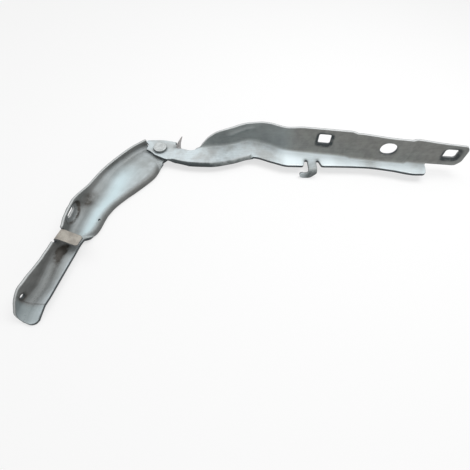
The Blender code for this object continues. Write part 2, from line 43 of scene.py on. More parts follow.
# sheet and levels in millimetres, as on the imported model; its rims are rounded in two narrow rows
sheet = dict(thick=2.8, rims=(0.5, 0.15), edge=0.3, besideRim=0.35, armTop=10.9, bracketTop=6.5,
             floorGap=3.7)


# curves and outlines, all in millimetres

def smoothLine(points, at):
    # a soft line through a few points, with no overshoot
    xs, ys = np.array(points, float).T
    steps = np.diff(xs)
    slopes = np.diff(ys) / steps
    same = slopes[:-1] * slopes[1:] > 0
    first, last = np.where(same, slopes[:-1], 1.0), np.where(same, slopes[1:], 1.0)
    before, after = 2 * steps[1:] + steps[:-1], steps[1:] + 2 * steps[:-1]
    inner = np.where(same, (before + after) / (before / first + after / last), 0.0)
    tangents = np.concatenate([slopes[:1], inner, slopes[-1:]])
    at = np.asarray(at, float)
    i = np.clip(np.searchsorted(xs, at) - 1, 0, len(xs) - 2)
    t = np.clip((at - xs[i]) / steps[i], 0, 1)
    rise = 3 * t**2 - 2 * t**3
    return (ys[i] + (ys[i + 1] - ys[i]) * rise + steps[i] * (tangents[i] * (t - 2 * t**2 + t**3)
            + tangents[i + 1] * (t**3 - t**2)))


def ramp(value, start, end):
    t = np.clip((np.asarray(value, float) - start) / (end - start), 0, 1)
    return t * t * (3 - 2 * t)


def between(value, start, full, fade, end):
    # rises from start to full and falls from fade to end
    return ramp(value, start, full) - ramp(value, fade, end)


def spot(value, middle, spread):
    # 1 at the middle, fading to both sides
    return np.exp(-((value - middle) / spread) ** 2)


def bend(distance, radius, turn):
    # how far out and over a sheet goes that turns on a radius and then runs straight
    curved = np.minimum(distance, radius * turn)
    rest = distance - curved
    angle = curved / radius
    return (radius * np.sin(angle) + rest * np.cos(angle),
            radius * (1 - np.cos(angle)) + rest * np.sin(angle))


def flangeLength(height, radius):
    # length of sheet, from the start of the bend, that stands this high
    low = radius * np.arccos(np.clip(1 - height / radius, -1, 1))
    return np.where(height < radius, low, radius * math.pi / 2 + height - radius)


def rounded(corners, step=9):
    # the closed outline through (x, y, radius) corners
    outline = []
    for i, (x, y, radius) in enumerate(corners):
        here = Vector((x, y))
        if radius == 0:
            outline.append(here)
            continue
        back = (Vector(corners[i - 1][:2]) - here).normalized()
        ahead = (Vector(corners[(i + 1) % len(corners)][:2]) - here).normalized()
        half = back.angle(ahead) / 2
        middle = here + (back + ahead).normalized() * (radius / math.sin(half))
        first = here + back * (radius / math.tan(half)) - middle
        last = here + ahead * (radius / math.tan(half)) - middle
        turn = first.angle_signed(last)
        pieces = max(2, math.ceil(abs(math.degrees(turn)) / step))
        for k in range(pieces + 1):
            outline.append(middle + Matrix.Rotation(-turn * k / pieces, 2) @ first)
    return np.array([p[:] for p in outline])


def arcLine(radius, start, end, step):
    # points round the origin, with the angles in degrees
    angles = np.radians(np.arange(start, end, step))
    return radius * np.column_stack([np.cos(angles), np.sin(angles)])


def edgeCorners(line, start, end):
    # plain corners a millimetre apart on a sheet's edge
    places = np.arange(start, end, 1.0)
    return [(place, float(across), 0) for place, across in zip(places, line(places))]


def oblong(hole):
    side, top = hole["wide"] / 2, hole["high"] / 2
    return rounded([(-side, -top, hole["corner"]), (side, -top, hole["corner"]),
                    (side, top, hole["corner"]), (-side, top, hole["corner"])])


def inside(loop, points):
    x, y = points.T
    hit = np.zeros(len(points), bool)
    for (ax, ay), (bx, by) in zip(loop, np.roll(loop, -1, axis=0)):
        if ay != by:
            hit ^= ((ay > y) != (by > y)) & (x < (bx - ax) * (y - ay) / (by - ay) + ax)
    return hit


def nearest(loop, points):
    best, gap = points.copy(), np.full(len(points), 1e9)
    for a, b in zip(loop, np.roll(loop, -1, axis=0)):
        run = b - a
        t = np.clip((points - a) @ run / max(run @ run, 1e-12), 0, 1)
        spot = a + t[:, None] * run
        away = np.linalg.norm(points - spot, axis=1)
        best = np.where((away < gap)[:, None], spot, best)
        gap = np.minimum(gap, away)
    return best, gap


# flat blanks: a grid is trimmed flat, then formed to its pressed shape

def columnsThrough(stops, pitch):
    # columns a pitch apart, with one on every stop
    places = [stops[0]]
    for a, b in zip(stops, stops[1:]):
        count = max(1, math.ceil((b - a) / pitch))
        places += [a + (b - a) * k / count for k in range(1, count + 1)]
    return np.array(places)


def makeBlank(columns, rowCount, lowEdge, highEdge):
    # x is the distance along the blank and y the distance across it
    bm = bmesh.new()
    bmesh.ops.create_grid(bm, x_segments=len(columns) - 1, y_segments=rowCount, size=0.5)
    low, high = lowEdge(columns), highEdge(columns)
    for v in bm.verts:
        i = round((v.co.x + 0.5) * (len(columns) - 1))
        share = v.co.y + 0.5
        v.co = (columns[i], low[i] + (high[i] - low[i]) * share, 0)
    return bm


def flatOf(verts):
    return np.array([v.co[:2] for v in verts]).reshape(-1, 2)


def inOrder(chosen, every):
    # a set's own order changes from run to run
    return [part for part in every if part in chosen]


# a cut edge is drawn onto its outline in rounds, and merged where its points crowd
cutting = dict(rounds=6, merge=0.5, leastArea=0.16, smoothing=5)
# the flat place under a plan place is looked for in small damped steps
search = dict(rounds=8, step=0.01, damping=0.003, limit=1.5)


def trim(bm, outline, form=None):
    # takes away the sheet inside an outline and moves the cut edge onto it; form gives plan places
    faces = list(bm.faces)
    centres = np.array([f.calc_center_median()[:2] for f in faces])
    gone = [f for f, hit in zip(faces, inside(outline, form(centres) if form else centres)) if hit]
    touched = {v for f in gone for v in f.verts}
    bmesh.ops.delete(bm, geom=gone, context="FACES")
    rim = {v for v in touched if v.is_valid}
    for turn in range(cutting["rounds"]):
        ordered = inOrder(rim, bm.verts)
        places = flatOf(ordered)
        if form:
            places = backToFlat(places, nearest(outline, form(places))[0], form)
        else:
            places = nearest(outline, places)[0]
        for v, place in zip(ordered, places):
            v.co = (*place, 0)
        bmesh.ops.remove_doubles(bm, verts=ordered, dist=cutting["merge"])
        rim = {v for v in rim if v.is_valid}
        thin = {f for v in rim for f in v.link_faces if f.calc_area() < cutting["leastArea"]}
        if not thin:
            break
        rim |= {v for f in thin for v in f.verts}
        bmesh.ops.delete(bm, geom=inOrder(thin, bm.faces), context="FACES")
        rim = {v for v in rim if v.is_valid}
    ring = {e.other_vert(v) for v in rim for e in v.link_edges}
    ring |= {e.other_vert(v) for v in ring for e in v.link_edges}
    ring = [v for v in inOrder(ring, bm.verts) if not v.is_boundary]
    for turn in range(cutting["smoothing"]):
        bmesh.ops.smooth_vert(bm, verts=ring, factor=0.5, use_axis_x=True, use_axis_y=True)


def backToFlat(flat, target, form):
    # the flat place whose plan place is the target
    step = search["step"]
    for turn in range(search["rounds"]):
        here = form(flat)
        runs = (form(flat + [step, 0]) - here) / step
        spans = (form(flat + [0, step]) - here) / step
        slopes = np.stack([runs, spans], axis=2)
        turned = slopes.transpose(0, 2, 1)
        damped = slopes @ turned + search["damping"] * np.eye(2)
        move = (turned @ np.linalg.solve(damped, (target - here)[..., None]))[..., 0]
        flat = flat + np.clip(move, -search["limit"], search["limit"])
    return flat


def pressed(bm, form, emboss, marks):
    # forms the blank into a sheet of full thickness with rounded rims, and returns its marks
    bmesh.ops.dissolve_degenerate(bm, edges=bm.edges[:], dist=0.02)
    for width in sheet["rims"]:
        bmesh.ops.inset_region(bm, faces=bm.faces[:], use_boundary=True, use_even_offset=False,
                               thickness=width, depth=0)
    made = bmesh.ops.extrude_face_region(bm, geom=bm.faces[:], use_keep_orig=True)["geom"]
    back = {part for part in made if isinstance(part, bmesh.types.BMVert)}
    sides = [f for f in bm.faces if 0 < sum(v in back for v in f.verts) < len(f.verts)]
    rim = {v for f in sides for v in f.verts}
    beside = {e.other_vert(v) for v in rim for e in v.link_edges} - rim
    for f in sides:
        f.material_index = 1
    behind = np.array([v in back for v in bm.verts], float)
    edge = np.array([1 if v in rim else sheet["besideRim"] if v in beside else 0 for v in bm.verts], float)
    flat = flatOf(bm.verts)
    u, s = flat.T
    here = form(u, s)
    across = np.cross(form(u + 0.2, s) - form(u - 0.2, s), form(u, s + 0.2) - form(u, s - 0.2))
    across /= np.linalg.norm(across, axis=1)[:, None]
    depth = sheet["edge"] * edge + (sheet["thick"] - 2 * sheet["edge"] * edge) * behind
    here = here + across * emboss(u, s)[:, None]
    for v, place in zip(bm.verts, here - across * depth[:, None]):
        v.co = Vector(place) * mm
    bmesh.ops.recalc_face_normals(bm, faces=bm.faces)
    return dict(marks(u, s, here), flat=np.column_stack([flat * mm, np.zeros(len(flat))]),
                rim=edge, back=behind)


def newPiece(name, bm, materials, marks=None):
    mesh = bpy.data.meshes.new(name)
    bm.to_mesh(mesh)
    bm.free()
    piece = bpy.data.objects.new(name, mesh)
    bpy.context.scene.collection.objects.link(piece)
    for material in materials:
        mesh.materials.append(material)
    for key, values in (marks or {}).items():
        kind, field = ("FLOAT_VECTOR", "vector") if np.ndim(values) == 2 else ("FLOAT", "value")
        values = np.asarray(values, np.float32)
        mesh.attributes.new(key, kind, "POINT").data.foreach_set(field, values.ravel())
    mesh.shade_smooth()
    return piece


# shader helpers

def add(tree, kind, **values):
    made = tree.nodes.new("ShaderNode" + kind)
    for key, value in values.items():
        if key in made.inputs:
            made.inputs[key].default_value = value
        else:
            setattr(made, key, value)
    return made


def mixColour(tree, share, first, last):
    made = add(tree, "Mix", data_type="RGBA")
    for socket, value in ((made.inputs[0], share), (made.inputs[6], first), (made.inputs[7], last)):
        if isinstance(value, bpy.types.NodeSocket):
            tree.links.new(value, socket)
        elif isinstance(value, (int, float)):
            socket.default_value = value
        else:
            socket.default_value = (*value, 1)
    return made.outputs[2]


def remap(tree, value, low, high, start=0.0, end=1.0):
    made = add(tree, "MapRange", interpolation_type="SMOOTHSTEP")
    for socket, number in zip(list(made.inputs)[1:5], (low, high, start, end)):
        socket.default_value = number
    tree.links.new(value, made.inputs[0])
    return made.outputs[0]


def maths(tree, work, first, last=0.0):
    made = add(tree, "Math", operation=work)
    for socket, value in zip(made.inputs, (first, last)):
        if isinstance(value, bpy.types.NodeSocket):
            tree.links.new(value, socket)
        else:
            socket.default_value = value
    return made.outputs[0]


def noise(tree, vector, scale, detail=3.0, rough=0.55, stretch=None):
    if stretch:
        turn = add(tree, "Mapping")
        turn.inputs["Scale"].default_value = stretch
        tree.links.new(vector, turn.inputs["Vector"])
        vector = turn.outputs[0]
    made = add(tree, "TexNoise", Scale=scale, Detail=detail, Roughness=rough)
    tree.links.new(vector, made.inputs["Vector"])
    return made.outputs["Fac"]


def newGroup(name, inputs, outputs):
    group = bpy.data.node_groups.new(name, "ShaderNodeTree")
    for key, kind, value in inputs:
        socket = group.interface.new_socket(key, in_out="INPUT", socket_type="NodeSocket" + kind)
        if value is not None:
            socket.default_value = value
    for key, kind in outputs:
        group.interface.new_socket(key, in_out="OUTPUT", socket_type="NodeSocket" + kind)
    return group, group.nodes.new("NodeGroupInput"), group.nodes.new("NodeGroupOutput")


def useGroup(tree, group, **values):
    made = tree.nodes.new("ShaderNodeGroup")
    made.node_tree = group
    for key, value in values.items():
        if isinstance(value, bpy.types.NodeSocket):
            tree.links.new(value, made.inputs[key])
        else:
            made.inputs[key].default_value = value
    return made


# cloudy zinc plate: two tones in blotches, a fine mottle, faint rolling lines and a grain to bump
plate, given, put = newGroup("zincPlate", [("Vector", "Vector", None), ("Light", "Color", (1, 1, 1, 1)),
                             ("Dark", "Color", (0.5, 0.5, 0.5, 1)), ("Cloud", "Float", 40.0)],
                             [("Color", "Color"), ("Roughness", "Float"), ("Height", "Float")])
cloud = add(plate, "TexNoise", Detail=4.0, Roughness=0.6)
plate.links.new(given.outputs["Vector"], cloud.inputs["Vector"])
plate.links.new(given.outputs["Cloud"], cloud.inputs["Scale"])
mottle = noise(plate, given.outputs["Vector"], 420.0, 3.0)
lines = noise(plate, given.outputs["Vector"], 700.0, 2.0, stretch=(0.06, 1.0, 1.0))
grain = noise(plate, given.outputs["Vector"], 2600.0, 2.0)
cover = remap(plate, cloud.outputs["Fac"], 0.34, 0.66)
tone = mixColour(plate, cover, given.outputs["Dark"], given.outputs["Light"])
fleck = remap(plate, maths(plate, "ADD", mottle, lines), 0.7, 1.3, 0.93, 1.05)
scaled = add(plate, "VectorMath", operation="SCALE")
plate.links.new(tone, scaled.inputs[0])
plate.links.new(fleck, scaled.inputs["Scale"])
plate.links.new(scaled.outputs[0], put.inputs["Color"])
plate.links.new(remap(plate, maths(plate, "ADD", mottle, cloud.outputs["Fac"]), 0.6, 1.4, 0.45, 0.62),
                put.inputs["Roughness"])
height = maths(plate, "ADD", maths(plate, "MULTIPLY", grain, 0.35), maths(plate, "MULTIPLY", mottle, 0.65))
plate.links.new(height, put.inputs["Height"])

# patchy dark brownish layer of painted shade, laid in corners and round the pressed rings
shadeAndGrimeFilm, given, put = newGroup("paintedShadeLayer", [("Vector", "Vector", None), ("Color", "Color", (1, 1, 1, 1)),
                            ("Film", "Color", (0.2, 0.17, 0.14, 1)), ("Amount", "Float", 0.5)],
                            [("Color", "Color"), ("Mask", "Float")])
patch = remap(shadeAndGrimeFilm, noise(shadeAndGrimeFilm, given.outputs["Vector"], 150.0, 5.0, 0.65), 0.3, 0.7)
share = maths(shadeAndGrimeFilm, "MULTIPLY", given.outputs["Amount"], remap(shadeAndGrimeFilm, patch, 0.0, 1.0, 0.45, 1.0))
shadeAndGrimeFilm.links.new(mixColour(shadeAndGrimeFilm, share, given.outputs["Color"], given.outputs["Film"]), put.inputs["Color"])
shadeAndGrimeFilm.links.new(share, put.inputs["Mask"])


def startMaterial(name, metallic):
    material = bpy.data.materials.new(name)
    material.use_nodes = True
    tree = material.node_tree
    shader = tree.nodes["Principled BSDF"]
    shader.inputs["Metallic"].default_value = metallic
    return material, tree, shader


def attribute(tree, name, field="Fac"):
    made = add(tree, "Attribute", attribute_name=name)
    return made.outputs[field]


def finishMaterial(tree, shader, colour, roughness, height, bump):
    tree.links.new(colour, shader.inputs["Base Color"])
    tree.links.new(roughness, shader.inputs["Roughness"])
    relief = add(tree, "Bump", Strength=bump, Distance=0.0004)
    tree.links.new(height, relief.inputs["Height"])
    tree.links.new(relief.outputs[0], shader.inputs["Normal"])


def plated(tree, vector, look, part, spread):
    return useGroup(tree, plate, Vector=vector, Light=(*look[part + "Light"], 1),
                    Dark=(*look[part + "Dark"], 1), Cloud=look["cloud"] * spread)


def sheetMaterial(name, look):
    # plated sheet: the flat web is pale, the standing wall is painted darker as shade, the bare patches warm;
    # painted shade, painted highlights and painted edge light are laid over it
    material, tree, shader = startMaterial(name, look["metallic"])
    vector = attribute(tree, "flat", "Vector")
    web = plated(tree, vector, look, "web", 1.0)
    wall = plated(tree, vector, look, "wall", 0.8)
    warm = plated(tree, vector, look, "warm", 3.0)
    colour = mixColour(tree, attribute(tree, "wall"), web.outputs["Color"], wall.outputs["Color"])
    colour = mixColour(tree, attribute(tree, "warm"), colour, warm.outputs["Color"])
    filmed = useGroup(tree, shadeAndGrimeFilm, Vector=vector, Color=colour, Film=(*look["shadeAndGrimeFilm"], 1),
                      Amount=attribute(tree, "dirt"))
    if "crease" in look:
        # painted shade along the crease that runs across the sheet
        place = add(tree, "SeparateXYZ")
        tree.links.new(vector, place.inputs[0])
        away = maths(tree, "ABSOLUTE", maths(tree, "SUBTRACT", place.outputs[0], look["crease"]))
        line = remap(tree, away, 0.0, 0.0011, 0.55, 0.0)
        filmed = useGroup(tree, shadeAndGrimeFilm, Vector=vector, Color=filmed.outputs["Color"],
                          Film=(*look["shadeAndGrimeFilm"], 1), Amount=line)
    speck = remap(tree, noise(tree, vector, 900.0, 4.0, 0.7), 0.56, 0.66)
    soiled = maths(tree, "MULTIPLY", speck, maths(tree, "MULTIPLY", attribute(tree, "soil"), 0.7))
    colour = mixColour(tree, soiled, filmed.outputs["Color"], look["shadeAndGrimeFilm"])
    # painted highlight, mixed in by the glow mark
    colour = mixColour(tree, attribute(tree, "glow"), colour, look["paintedHighlight"])
    # painted edge light and painted shade on the narrow rows beside the rims
    edge = mixColour(tree, attribute(tree, "shine"), look["edgeDark"], look["edgeGrey"])
    colour = mixColour(tree, attribute(tree, "rim"), colour, edge)
    finishMaterial(tree, shader, colour, web.outputs["Roughness"], web.outputs["Height"], look["bump"])
    return material


def edgeMaterial(name, look):
    # sheared edge: painted light where it faces the light, painted shade where it faces down or into a hole
    material, tree, shader = startMaterial(name, look["metallic"])
    place = add(tree, "TexCoord").outputs["Object"]
    back = attribute(tree, "back")
    # a darker painted outline along both skins of the cut edge, with painted light between them
    outline = maths(tree, "MAXIMUM", remap(tree, back, 0.62, 0.95), remap(tree, back, 0.28, 0.0, 0.0, 0.6))
    litEdgeMiddle = mixColour(tree, outline, look["edgeBright"], look["edgeGrey"])
    edge = mixColour(tree, attribute(tree, "shine"), look["edgeDark"], litEdgeMiddle)
    made = useGroup(tree, plate, Vector=place, Light=edge, Dark=edge, Cloud=120.0)
    finishMaterial(tree, shader, made.outputs["Color"], made.outputs["Roughness"],
                   made.outputs["Height"], 0.2)
    return material


def plainSteel(name, light, dark, metallic, bump=0.2, cloud=160.0):
    material, tree, shader = startMaterial(name, metallic)
    place = add(tree, "TexCoord").outputs["Object"]
    made = useGroup(tree, plate, Vector=place, Light=(*light, 1), Dark=(*dark, 1), Cloud=cloud)
    finishMaterial(tree, shader, made.outputs["Color"], made.outputs["Roughness"],
                   made.outputs["Height"], bump)
    return material


# hood arm

arm = dict(
    wallLine=[(38, 2), (55, 4.6), (76, 7.5), (97, 14.2), (116, 9.2), (136, -0.8), (160, -4.8),
              (196, -10.1), (204, -11.22), (260, -19.06), (268, -20.18), (276, -21.2), (284, -22.04),
              (321, -25.925)],
    nearLine=[(-22, -17), (13, -18), (21, -20.2), (36, -23.2), (56, -24), (78, -19.5), (101, -12.4),
              (121, -19.6), (138, -25.2), (192, -26.2), (218, -27.3), (244, -31.7), (269, -37.5),
              (321, -38)],
    wallHeight=[(38, 0.4), (43, 1.2), (54, 11.6), (64, 17.4), (80, 20.8), (99, 22.1), (112, 25.4),
                (136, 27.8), (152, 30.2), (205, 30.6), (240, 28.4), (264, 27.9), (290, 25.5),
                (321, 23.5)],
    headRing=7.4, bendRadius=3.4, flatUntil=24, bentFrom=36, noseSpan=20.0,
    joggle=dict(depth=2.4, ramp=6, start=199, end=258),
    lip=dict(start=-2, full=26, end=101, fade=5, turn=78, radius=3.4, length=6.0, short=0.35,
             longFrom=(2, 24)),
    nose=[(36, -26.2, 0), (18, -20.6, 10), (4, -14, 12), (-4.8, -9.3, 8), (-11, -3.2, 3), (-15.7, -0.6, 1.5),
          (-14.2, 6.6, 4), (-17.6, 12.0, 1.6), (-15.8, 14.3, 2), (2, 14.6, 30), (17.6, 10.7, 1),
          (15.4, 8.1, 1), (21.6, 1.2, 5), (33, -2.6, 10), (38.5, -0.5, 4), (42, 5, 0), (42, 60, 0),
          (-60, 60, 0), (-60, -60, 0), (36, -60, 0)],
    # a dish is its depth, start and reach round the hole, and the painted shade in the dish its strength and
    # reach
    holes=dict(
        square=dict(at=174.6, up=17.6, wide=12.4, high=12.0, corner=1.6, dish=(1.5, 0.4, 3.2),
                    ringShade=(1.5, 3.8)),
        oval=dict(at=239.0, up=15.4, wide=16.4, high=14.6, corner=7.2, dish=(0.5, 0.0, 1.4),
                  ringShade=(0.4, 1.6)),
        end=dict(at=302.4, up=13.0, wide=13.0, high=10.6, corner=2.4, dish=(1.7, 0.4, 3.4),
                 ringShade=(1.4, 4.2))),
    bead=dict(ends=(69, 77, 99, 106), start=(72.6, 12.4), finish=(103.3, 17.0), half=2.1, high=1.3),
    end=316.7, webEnd=281.2, bore=5.7,
    hook=dict(left=158.6, right=167.6, toe=149.8, turnAt=-27.0, radius=6.0, reach=(140, 186)),
    rows=46, pitch=1.1,
)


def armWall(x):
    step = arm["joggle"]
    recess = between(x, step["start"], step["start"] + step["ramp"], step["end"], step["end"] + step["ramp"])
    return smoothLine(arm["wallLine"], x) - step["depth"] * recess


def armBendStart(x):
    return armWall(x) - arm["bendRadius"]


def armLipLength(x):
    # shorter by the nose, so that it passes over the bracket
    lip = arm["lip"]
    return lip["length"] * (lip["short"] + (1 - lip["short"]) * ramp(x, *lip["longFrom"]))


def armLip(x):
    lip = arm["lip"]
    share = between(x, lip["start"], lip["full"], lip["end"] - lip["fade"], lip["end"])
    turn = np.radians(lip["turn"] * share)
    start = smoothLine(arm["nearLine"], x) + bend(armLipLength(x), lip["radius"], turn)[0]
    return start, turn


def armNear(x):
    return armLip(x)[0] - armLipLength(x)


def armTopEdge(x):
    bent = ramp(x, arm["flatUntil"], arm["bentFrom"])
    length = flangeLength(smoothLine(arm["wallHeight"], x), arm["bendRadius"])
    return armBendStart(x) + arm["noseSpan"] + (length - arm["noseSpan"]) * bent


def formArm(x, s):
    hook, lip = arm["hook"], arm["lip"]
    bent = ramp(x, arm["flatUntil"], arm["bentFrom"])
    bendStart = armBendStart(x)
    lipStart, turn = armLip(x)
    over = np.maximum(s - bendStart, 0)
    out, up = bend(over, arm["bendRadius"] / np.maximum(bent, 0.01), math.pi / 2 * bent)
    under = np.maximum(lipStart - s, 0)
    lipOut, down = bend(under, lip["radius"], turn)
    y = np.where(over > 0, bendStart + out, np.where(under > 0, lipStart - lipOut, s))
    byHook = (x > hook["reach"][0]) & (x < hook["reach"][1])
    fall = np.where(byHook, np.maximum(hook["turnAt"] - s, 0), 0)
    hookOut, hookDown = bend(fall, hook["radius"], math.pi / 2)
    y = np.where(fall > 0, hook["turnAt"] - hookOut, y)
    return np.column_stack([x, y, sheet["armTop"] + up - down - hookDown])


def armWallFlat(outline):
    # (x, height over the web) to flat places
    x, up = outline.T
    return np.column_stack([x, armBendStart(x) + flangeLength(up, arm["bendRadius"])])


def hookFlat(x, z):
    # flat place of a point on the hook, from its height over the floor
    hook = arm["hook"]
    middle = sheet["armTop"] - hook["radius"]
    if z > middle:
        return x, hook["turnAt"] - hook["radius"] * math.acos((z - middle) / hook["radius"])
    return x, hook["turnAt"] - hook["radius"] * math.pi / 2 - (middle - z)


def armHeight(x, s):
    return s - armBendStart(x) - arm["bendRadius"] * (math.pi / 2 - 1)


def holeGap(along, height, hole):
    # distance from a hole's edge, along the wall
    dx = np.maximum(np.abs(along - hole["at"]) - (hole["wide"] / 2 - hole["corner"]), 0)
    dy = np.maximum(np.abs(height - hole["up"]) - (hole["high"] / 2 - hole["corner"]), 0)
    return np.hypot(dx, dy) - hole["corner"]


def beadShare(x, s):
    # the long bead pressed in the wall beside the crest
    bead = arm["bead"]
    (startX, startUp), (endX, endUp) = bead["start"], bead["finish"]
    line = startUp + (x - startX) * (endUp - startUp) / (endX - startX)
    return spot(armHeight(x, s), line, bead["half"]) * between(x, *bead["ends"])


def armEmboss(x, s):
    lift = arm["bead"]["high"] * beadShare(x, s)
    for hole in arm["holes"].values():
        depth, start, reach = hole["dish"]
        lift = lift - depth * (1 - ramp(holeGap(x, armHeight(x, s), hole), start, reach))
    return lift


# where the arm's tones, painted shade and painted highlights change, in millimetres: spans along it first,
# then distances across it
armTones = dict(
    crest=(88, 112, 126, 148), neck=(150, 160, 167, 175), hookBand=(130, 144, 178, 192),
    recessBand=(196, 206, 216, 226), glow=(121, 138), warm=(128, 150), warmEnd=(288, 300),
    lipEnd=(44, 62), topEdge=(40, 46), hookEdge=(148.5, 169.0), waist=(70, 18),
    nooks=((155.6, 2.2), (170.2, 2.0)), spikeRoot=((15.8, 2.2), (3.0, 3.0)),
    bendRise=(-1.9, 1.4), lipRise=(0.2, 1.6), lipTurn=(0.05, 0.6), foldStart=(18, 23),
    foldEnd=(25, 33), foldSoil=(26, 30), foldShade=(26, 34), neckGlow=(10, 18), neckShade=(11, 18),
    nookRise=(13.5, 17.5), nookEnd=-29, hookLow=-28.5, edgeWidth=0.9, headSpread=0.75,
)


def headShade(here):
    # painted shadow where the rivet head meets the sheet, heaviest at the lower left
    away = np.hypot(here[:, 0], here[:, 1])
    side = np.clip(-(here[:, 0] + here[:, 1]) / (1.414 * np.maximum(away, 0.1)), 0, 1)
    return spot(away, arm["headRing"], armTones["headSpread"]) * (0.25 + 0.6 * side)


def armMarks(x, s, here):
    # shares by which the steel mixes its tones, painted shade, painted highlights and painted edge light
    tones, hook = armTones, arm["hook"]
    bent = ramp(x, arm["flatUntil"], arm["bentFrom"])
    # painted shade: the bent wall takes the darker wall tone, a little lighter along the crest
    wall = bent * ramp(armHeight(x, s), *tones["bendRise"]) * (1 - 0.13 * between(x, *tones["crest"]))
    lipStart, turn = armLip(x)
    # painted shade on the lip that turns down under the web
    lip = ramp(lipStart - s, *tones["lipRise"]) * ramp(turn, *tones["lipTurn"])
    strip = (x > hook["toe"] - 1) * (x < hook["right"] + 1)
    neck = between(x, *tones["neck"])
    # painted shade on the hook's strip, darker towards its foot
    fold = (0.25 * ramp(-s, *tones["foldStart"]) + 0.75 * ramp(-s, *tones["foldEnd"])) * strip
    # painted shade in the dishes round the holes
    dishRingShade = 0 * x
    for hole in arm["holes"].values():
        strength, reach = hole["ringShade"]
        gap = holeGap(x, armHeight(x, s), hole)
        dishRingShade = np.maximum(dishRingShade, strength * (1 - ramp(gap, reach * 0.4, reach)))
    # painted highlight in bands along the web, kept off the wall and the hook's neck
    highlightBands = 0.5 + 0.2 * np.sin((x - 118) / 9.5) + 0.1 * np.sin(x / 4.1)
    highlightBands = highlightBands + 0.5 * between(x, *tones["hookBand"]) + 0.15 * between(x, *tones["recessBand"])
    glow = highlightBands * ramp(x, *tones["glow"]) * (1 - wall) * (1 - neck * ramp(-s, *tones["neckGlow"]))
    # painted shadow in the notches beside the hook
    nook = sum(spot(x, *place) for place in tones["nooks"])
    nook = 1.3 * nook * ramp(-s, *tones["nookRise"]) * (s > tones["nookEnd"])
    shade = 0.3 * spot(x, *tones["waist"]) * (1 - wall) + 0.24 * neck * ramp(-s, *tones["neckShade"])
    # painted shadow at the root of the spike
    root = 0.9 * spot(x, *tones["spikeRoot"][0]) * spot(s, *tones["spikeRoot"][1])
    # all the painted shade together, with a little on the wall and below the bead
    dirt = dishRingShade + 0.08 * wall + 0.1 * beadShare(x, s) + root + nook + shade + headShade(here)
    dirt = dirt + (1.9 - 1.4 * ramp(x, *tones["lipEnd"])) * lip
    dirt = dirt + (0.2 + 0.4 * ramp(-s, *tones["foldShade"])) * fold * (x > hook["toe"] + 2.2)
    # painted edge light on the rims at the top of the wall and low on the hook, and a grey at the far end
    topEdge = (armTopEdge(x) - s < tones["edgeWidth"]) * ramp(x, *tones["topEdge"])
    hookEdge = (x > tones["hookEdge"][0]) * (x < tones["hookEdge"][1]) * (s < tones["hookLow"])
    shine = np.maximum(topEdge, np.where(hookEdge, 0.4, 0.0))
    shine = np.where((x > arm["webEnd"] + 1) & (topEdge < 0.5), 0.3, shine)
    return dict(wall=np.maximum(np.maximum(wall, lip), 0.8 * fold),
                warm=0.75 * wall * (ramp(x, *tones["warm"]) - 0.4 * ramp(x, *tones["warmEnd"])),
                soil=0.5 * fold * ramp(-s, *tones["foldSoil"]), glow=glow + 0.08 * beadShare(x, s),
                shine=shine, dirt=dirt)


# the darker wall tones are painted shade, the highlight colour is a painted highlight, and the edge tones are
# painted edge light and shade; the dark layer colour serves painted shade and real specks
armLook = dict(metallic=0.15, webLight=(0.58, 0.65, 0.675), webDark=(0.43, 0.455, 0.455),
               wallLight=(0.34, 0.37, 0.365), wallDark=(0.23, 0.25, 0.25),
               warmLight=(0.36, 0.355, 0.328), warmDark=(0.265, 0.26, 0.24),
               shadeAndGrimeFilm=(0.04, 0.05, 0.052), edgeBright=(0.58, 0.60, 0.60), edgeGrey=(0.2, 0.215, 0.215),
               edgeDark=(0.05, 0.06, 0.065), paintedHighlight=(0.78, 0.865, 0.895), cloud=42.0, bump=0.12)


def makeArm():
    hook, end, webEnd = arm["hook"], arm["end"], arm["webEnd"]
    left, right, toe = hook["left"], hook["right"], hook["toe"]
    columns = columnsThrough([-22, 136, 147, 152.6, left, right, 173, 188, webEnd, end, 321], arm["pitch"])
    bm = makeBlank(columns, arm["rows"], lambda x: armNear(x) - 18 * between(x, 138, 147, 177, 186),
                   armTopEdge)
    trim(bm, rounded(arm["nose"]))

    # the hook and the notches at both its sides
    outline = edgeCorners(armNear, 136, 152.5) + [(153.6, -25, 1), (156.0, -17.4, 1.0), (left, -17.4, 1.0)]
    outline += [(*hookFlat(left, 7.4), 2.4), (*hookFlat(toe + 4.6, 6.4), 1.2),
                (*hookFlat(toe + 3.2, 7.6), 1.2), (*hookFlat(toe, 6.8), 1.6), (*hookFlat(toe, 0), 4.2),
                (*hookFlat(right - 6.4, 0), 5), (*hookFlat(right, 6.4), 3)]
    outline += [(right, -18.2, 1), (170.4, -18.4, 1), (172.6, -25, 1)] + edgeCorners(armNear, 174, 188.5)
    trim(bm, rounded(outline + [(188, -60, 0), (136, -60, 0)]))

    # the far end, where the web stops short and the wall runs on
    webCorner = rounded([(268, -37.9, 0), (278.4, -37.9, 5), (281.1, -28, 0), (360, -90, 0), (268, -90, 0)])
    wallEnd = rounded([(webEnd, -5, 0), (webEnd, 0.9, 1.5), (end, 0.9, 6.5), (end, 24.4, 7.5),
                       (302.6, 25.8, 0), (302.6, 60, 0), (380, 60, 0), (380, -5, 0)])[1:-1]
    wallEnd[:, 1] = np.maximum(wallEnd[:, 1], 0.02)
    trim(bm, np.concatenate([webCorner[:-2], [(webEnd, float(armBendStart(webEnd)))],
                             armWallFlat(wallEnd), [(380, 60), (380, -90), (268, -90)]]))
    for hole in arm["holes"].values():
        trim(bm, armWallFlat(oblong(hole) + [hole["at"], hole["up"]]))
    trim(bm, oblong(dict(wide=2 * arm["bore"], high=2 * arm["bore"], corner=0.999 * arm["bore"])))
    marks = pressed(bm, formArm, armEmboss, armMarks)
    piece = newPiece("hoodArmPressing", bm, [sheetMaterial("armSteel", armLook),
                                             edgeMaterial("armEdge", armLook)], marks)
    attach(piece, "hood_side")
    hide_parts("hood_arm")


makeArm()
print("hood arm pressed")


# body bracket

